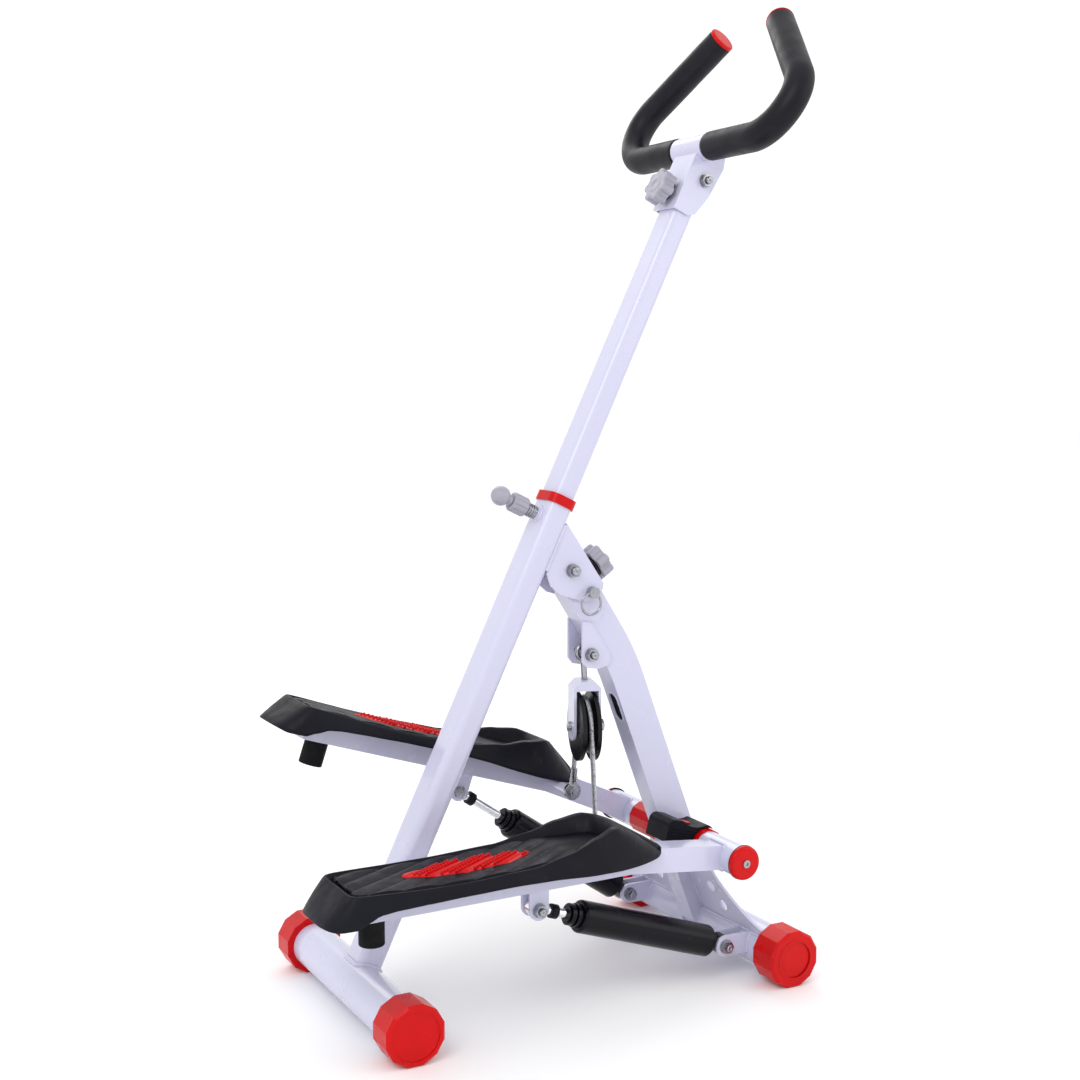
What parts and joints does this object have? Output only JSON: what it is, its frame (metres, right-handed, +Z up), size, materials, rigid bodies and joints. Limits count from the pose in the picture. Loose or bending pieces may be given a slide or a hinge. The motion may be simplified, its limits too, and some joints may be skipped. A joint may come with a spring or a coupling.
{
  "type": "stepper",
  "caption": "Folding gym stepper: telescopic mast with horseshoe handlebar, paired pedals on a cross pivot, cable and pulley, hydraulic cylinders, foot bars with caps.",
  "frame": {"origin": "bottom centre of the bounding box, on the floor between the two foot bars, in the plane of symmetry", "axes": "+X forward, the way the user faces; +Y to the user's left; +Z up"},
  "size_m": [0.61, 0.35, 1.1003],
  "materials": {
    "white_paint": "gloss powder coat",
    "red_plastic": "semi-gloss moulded",
    "black_plastic": "satin moulded, textured",
    "black_paint": "satin enamel",
    "black_rubber": "matte",
    "foam": "matte closed-cell foam",
    "zinc": "zinc plated",
    "chrome_rod": "polished",
    "grey_plastic": "satin moulded",
    "nylon": "moulded nylon",
    "wire_rope": "twisted wire under a clear coat"
  },
  "bodies": {
    "front_frame": {"front_foot_tube": "white_paint", "front_foot_caps": "red_plastic", "strut_tube": "white_paint", "gusset_plates": "white_paint", "pivot_tube": "white_paint", "pivot_spacers": "red_plastic", "pivot_axle": "zinc", "pivot_end_caps": "red_plastic", "welded_brackets": "white_paint", "frame_bolts": "zinc", "pulley_eye_bolt": "zinc", "pulley_block": "white_paint", "pulley_axle": "zinc", "cable_over_pulley": "wire_rope", "right_cable_leg": "wire_rope", "left_cable_leg": "wire_rope", "computer_case": "black_plastic"},
    "computer_button": {"computer_button": "red_plastic"},
    "pulley": {"pulley_wheel": "nylon"},
    "mast": {"mast_tube": "white_paint", "rear_foot_tube": "white_paint", "rear_foot_caps": "red_plastic", "hinge_ears": "white_paint", "mast_collar": "red_plastic", "fold_bolt": "zinc", "pin_nipple": "zinc"},
    "upper_mast": {"upper_tube": "white_paint", "tilt_bolt": "zinc"},
    "handlebar": {"head_bracket": "white_paint", "handlebar_tube": "black_paint", "foam_grips": "foam", "handlebar_end_caps": "red_plastic"},
    "tilt_knob": {"tilt_knob": "grey_plastic", "tilt_knob_screw": "zinc"},
    "fold_knob": {"fold_knob": "grey_plastic", "fold_knob_screw": "zinc"},
    "height_pin": {"height_pin": "zinc", "pin_ball": "grey_plastic"},
    "pin_barrel": {"pin_barrel": "grey_plastic"},
    "ring_pin": {"ring_pin": "zinc"},
    "right_pedal": {"right_pedal_tray": "black_plastic", "right_pedal_insert": "red_plastic", "right_pedal_arm": "white_paint", "right_sleeve_bushes": "nylon", "right_heel_bumper": "black_rubber", "right_cylinder_bracket": "white_paint", "right_pedal_bolts": "zinc", "right_cable_end": "zinc"},
    "right_cylinder": {"right_cylinder_barrel": "black_paint"},
    "right_rod": {"right_cylinder_rod": "chrome_rod"},
    "left_pedal": {"left_pedal_tray": "black_plastic", "left_pedal_insert": "red_plastic", "left_pedal_arm": "white_paint", "left_sleeve_bushes": "nylon", "left_heel_bumper": "black_rubber", "left_cylinder_bracket": "white_paint", "left_pedal_bolts": "zinc", "left_cable_end": "zinc"},
    "left_cylinder": {"left_cylinder_barrel": "black_paint"},
    "left_rod": {"left_cylinder_rod": "chrome_rod"}
  },
  "joints": [
    {"name": "mast_fold", "type": "hinge", "parent": "front_frame", "child": "mast", "pos_m": [0.03599, 0, 0.46891], "axis": [0, -1, 0], "range_deg": [0, 30]},
    {"name": "mast_height", "type": "slide", "parent": "mast", "child": "upper_mast", "axis": [0.4337, 0, 0.9011], "range_m": [0, 0.15]},
    {"name": "handlebar_tilt", "type": "hinge", "parent": "upper_mast", "child": "handlebar", "pos_m": [0.20701, 0, 0.9082], "axis": [0, 1, 0], "range_deg": [0, 90]},
    {"name": "tilt_knob_turn", "type": "hinge", "parent": "handlebar", "child": "tilt_knob", "pos_m": [0.16984, 0, 0.89668], "axis": [-0.9011, 0, 0.4337], "continuous": true},
    {"name": "fold_knob_turn", "type": "hinge", "parent": "mast", "child": "fold_knob", "pos_m": [0.06687, 0, 0.46676], "axis": [0.828, 0, 0.5608], "continuous": true},
    {"name": "height_pin_pull", "type": "slide", "parent": "mast", "child": "height_pin", "axis": [-0.9011, 0, 0.4337], "range_m": [0, 0.009], "stiffness_N_per_m": 900, "springref_m": -0.006},
    {"name": "pin_barrel_turn", "type": "hinge", "parent": "mast", "child": "pin_barrel", "pos_m": [-0.02114, 0, 0.54368], "axis": [-0.9011, 0, 0.4337], "continuous": true},
    {"name": "ring_pin_pull", "type": "slide", "parent": "mast", "child": "ring_pin", "axis": [0, -1, 0], "range_m": [0, 0.06]},
    {"name": "right_pedal_hinge", "type": "hinge", "parent": "front_frame", "child": "right_pedal", "pos_m": [0.188, 0, 0.143], "axis": [0, 1, 0], "range_deg": [-6, 24.5], "deforming": ["right_cable_leg"]},
    {"name": "left_pedal_hinge", "type": "hinge", "parent": "front_frame", "child": "left_pedal", "pos_m": [0.188, 0, 0.143], "axis": [0, 1, 0], "range_deg": [-24.5, 6], "deforming": ["left_cable_leg"]},
    {"name": "right_cylinder_swing", "type": "hinge", "parent": "front_frame", "child": "right_cylinder", "pos_m": [0.183, -0.105, 0.0385], "axis": [0, 1, 0], "range_deg": [-6, 22]},
    {"name": "left_cylinder_swing", "type": "hinge", "parent": "front_frame", "child": "left_cylinder", "pos_m": [0.183, 0.105, 0.0385], "axis": [0, 1, 0], "range_deg": [-22, 6]},
    {"name": "right_rod_stroke", "type": "slide", "parent": "right_cylinder", "child": "right_rod", "axis": [-0.9473, 0, 0.3204], "range_m": [-0.011, 0.042]},
    {"name": "left_rod_stroke", "type": "slide", "parent": "left_cylinder", "child": "left_rod", "axis": [-0.826, 0, 0.5636], "range_m": [-0.042, 0.011]},
    {"name": "pulley_turn", "type": "hinge", "parent": "front_frame", "child": "pulley", "pos_m": [0.063, 0, 0.285], "axis": [0.9613, -0.2756, 0], "range_deg": [-97, 25]},
    {"name": "button_press", "type": "slide", "parent": "front_frame", "child": "computer_button", "axis": [-0.2588, 0, -0.9659], "range_m": [0, 0.0015], "stiffness_N_per_m": 400, "springref_m": -0.0005}
  ],
  "couplings": [
    {"joint": "left_pedal_hinge", "follows": "right_pedal_hinge", "ratio": -1},
    {"joint": "right_cylinder_swing", "follows": "right_pedal_hinge", "ratio": 0.846},
    {"joint": "left_cylinder_swing", "follows": "right_pedal_hinge", "ratio": -0.848},
    {"joint": "right_rod_stroke", "follows": "right_pedal_hinge", "m_per_rad": 0.0937},
    {"joint": "left_rod_stroke", "follows": "right_pedal_hinge", "m_per_rad": -0.094},
    {"joint": "pulley_turn", "follows": "right_pedal_hinge", "ratio": -3.91}
  ]
}
